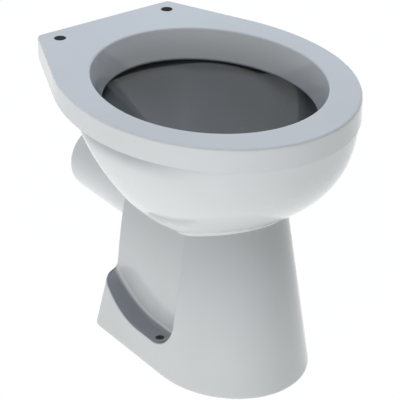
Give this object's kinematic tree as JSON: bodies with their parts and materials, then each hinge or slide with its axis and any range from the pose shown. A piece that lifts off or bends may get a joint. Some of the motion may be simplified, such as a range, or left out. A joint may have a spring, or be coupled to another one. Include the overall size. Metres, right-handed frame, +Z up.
{
  "type": "floor-standing toilet pan",
  "caption": "Floor-standing white china toilet pan with an oval rim, flat rear deck, deep bowl, tapered pedestal with side recesses and a horizontal outlet pipe at the rear.",
  "frame": {"origin": "bottom centre of the overall box, on the floor", "axes": "+Z up, the rim's nose towards -Y, the outlet and the deck towards +Y, +X across"},
  "size_m": [0.36, 0.475, 0.39],
  "materials": {
    "glazed_china": "glossy white glaze over vitreous china"
  },
  "bodies": {
    "root": {"rim_ring": "glazed_china", "rim_lip": "glazed_china", "flush_chamber": "glazed_china", "inlet_horn": "glazed_china", "bowl_shell": "glazed_china", "sump_funnel": "glazed_china", "trap_bend": "glazed_china", "weir_bend": "glazed_china", "outlet_spigot": "glazed_china", "pedestal_front": "glazed_china", "trap_casing": "glazed_china", "foot_base": "glazed_china"}
  },
  "joints": []
}
